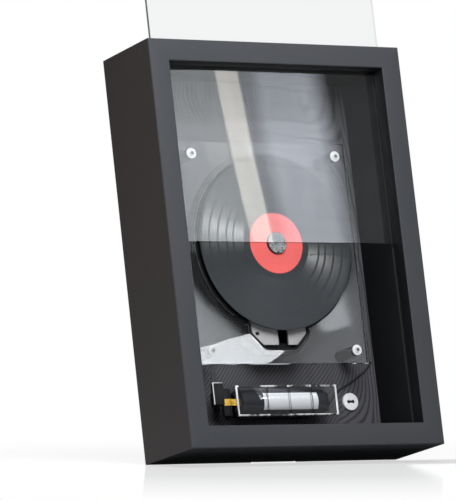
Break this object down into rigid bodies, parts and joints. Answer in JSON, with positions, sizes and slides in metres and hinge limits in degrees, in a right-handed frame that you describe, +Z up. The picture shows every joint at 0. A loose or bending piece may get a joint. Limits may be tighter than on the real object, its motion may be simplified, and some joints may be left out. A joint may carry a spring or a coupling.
{
  "type": "wall mounted disc player",
  "caption": "Disc player in a deep wall frame: a clear panel slides up, the disc sits on a clear plate over the drive, with battery, button and keyhole hangers.",
  "frame": {"origin": "centre of the base, under the middle of the frame's depth", "axes": "+X to the right seen from the front, +Y from the front to the wall, +Z up"},
  "size_m": [0.2, 0.062, 0.413],
  "materials": {
    "frame_paint": "satin painted board, near-black slate",
    "bright_steel": "satin",
    "felt": "short black felt",
    "clear_panel": "clear, polished",
    "clear_plate": "clear, polished",
    "clear_tray": "clear, polished",
    "back_board_print": "matt dark grey with faint darker contour lines",
    "rear_cover_plastic": "fine textured",
    "dark_screw": "black oxide",
    "dark_standoff": "black anodised",
    "white_washer": "smooth white",
    "black_plastic": "fine textured black",
    "grey_deck": "finely textured light grey",
    "chassis_steel": "zinc plated",
    "black_rubber": "matt",
    "hub_plastic": "smooth",
    "hub_cap_grey": "speckled grey",
    "disc_black": "grooved black gloss",
    "label_red": "printed coral red",
    "lens_glass": "coated lens",
    "brass": "bright",
    "gear_plastic": "natural acetal",
    "flex_film": "amber film",
    "cell_wrap": "dark shrink sleeve",
    "white_band": "white sleeve band",
    "ribbon": "dark flat ribbon",
    "lead_rubber": "thin black insulation",
    "white_button": "smooth white",
    "board_green": "solder mask"
  },
  "bodies": {
    "frame": {"frame_left_board": "frame_paint", "frame_right_board": "frame_paint", "frame_top_board": "frame_paint", "frame_bottom_board": "frame_paint", "corner_brackets": "bright_steel", "corner_bracket_screws": "bright_steel", "groove_felt_strips": "felt", "back_board": "back_board_print", "back_board_screws": "bright_steel", "rear_cover": "rear_cover_plastic", "cover_spacers": "bright_steel", "rear_cover_screws": "dark_screw", "wall_hangers": "bright_steel", "mount_plate": "clear_plate", "plate_standoffs": "dark_standoff", "plate_screws": "bright_steel", "plate_washers": "white_washer", "deck_bezel": "black_plastic", "deck_plate": "grey_deck", "deck_chassis": "chassis_steel", "deck_isolators": "black_rubber", "deck_screws": "bright_steel", "deck_cover": "black_plastic", "spindle_motor": "bright_steel", "guide_rods": "bright_steel", "sled_motor": "bright_steel", "gear_pin": "bright_steel", "deck_flex_cable": "flex_film", "battery_tray": "clear_tray", "battery_cell": "cell_wrap", "battery_band": "white_band", "strip_contact": "brass", "leaf_contact": "brass", "terminal_block": "black_plastic", "battery_ribbon": "ribbon", "power_lead": "lead_rubber", "button_switch": "black_plastic", "main_board": "board_green", "board_chips": "black_plastic", "usb_port": "bright_steel", "audio_jack": "black_plastic", "stand_hinge_pin": "bright_steel", "stand_bracket": "chassis_steel"},
    "panel": {"front_panel": "clear_panel"},
    "spindle": {"spindle_shaft": "bright_steel", "spindle_hub": "hub_plastic", "hub_balls": "bright_steel", "hub_cap": "hub_cap_grey"},
    "disc": {"disc": "disc_black", "disc_label": "label_red"},
    "sled": {"pickup_sled": "black_plastic", "lens_magnets": "bright_steel"},
    "lens": {"lens_holder": "black_plastic", "objective_lens": "lens_glass"},
    "gear": {"reduction_gear": "gear_plastic"},
    "pinion": {"motor_pinion": "brass"},
    "battery_cover": {"battery_cover": "clear_tray"},
    "button": {"power_button": "white_button"},
    "stand": {"stand_leg": "rear_cover_plastic"}
  },
  "joints": [
    {"name": "panel_slide", "type": "slide", "parent": "frame", "child": "panel", "axis": [0, 0, 1], "range_m": [-0.133, 0.115]},
    {"name": "disc_spin", "type": "hinge", "parent": "frame", "child": "spindle", "pos_m": [0, 0, 0.1445], "axis": [0, 1, 0], "continuous": true},
    {"name": "disc_lift", "type": "slide", "parent": "spindle", "child": "disc", "axis": [0, -1, 0], "range_m": [0, 0.009]},
    {"name": "sled_slide", "type": "slide", "parent": "frame", "child": "sled", "axis": [0, 0, -1], "range_m": [0, 0.034]},
    {"name": "lens_focus", "type": "slide", "parent": "sled", "child": "lens", "axis": [0, -1, 0], "range_m": [-0.0005, 0.0005], "stiffness_N_per_m": 8},
    {"name": "gear_turn", "type": "hinge", "parent": "frame", "child": "gear", "pos_m": [0.022, 0, 0.1165], "axis": [0, -1, 0], "range_deg": [-2, 466]},
    {"name": "pinion_turn", "type": "hinge", "parent": "frame", "child": "pinion", "pos_m": [0.03646, 0, 0.12234], "axis": [0, -1, 0], "range_deg": [-1550, 2]},
    {"name": "battery_cover_pull", "type": "slide", "parent": "frame", "child": "battery_cover", "axis": [0, -1, 0], "range_m": [0, 0.012]},
    {"name": "power_press", "type": "slide", "parent": "frame", "child": "button", "axis": [0, 1, 0], "range_m": [0, 0.001], "stiffness_N_per_m": 400, "springref_m": -0.0005},
    {"name": "stand_fold", "type": "hinge", "parent": "frame", "child": "stand", "pos_m": [0, 0.0292, 0.15], "axis": [1, 0, 0], "range_deg": [0, 24]}
  ],
  "couplings": [
    {"joint": "gear_turn", "follows": "sled_slide", "rad_per_m": 238.1},
    {"joint": "pinion_turn", "follows": "sled_slide", "rad_per_m": -793.65}
  ]
}
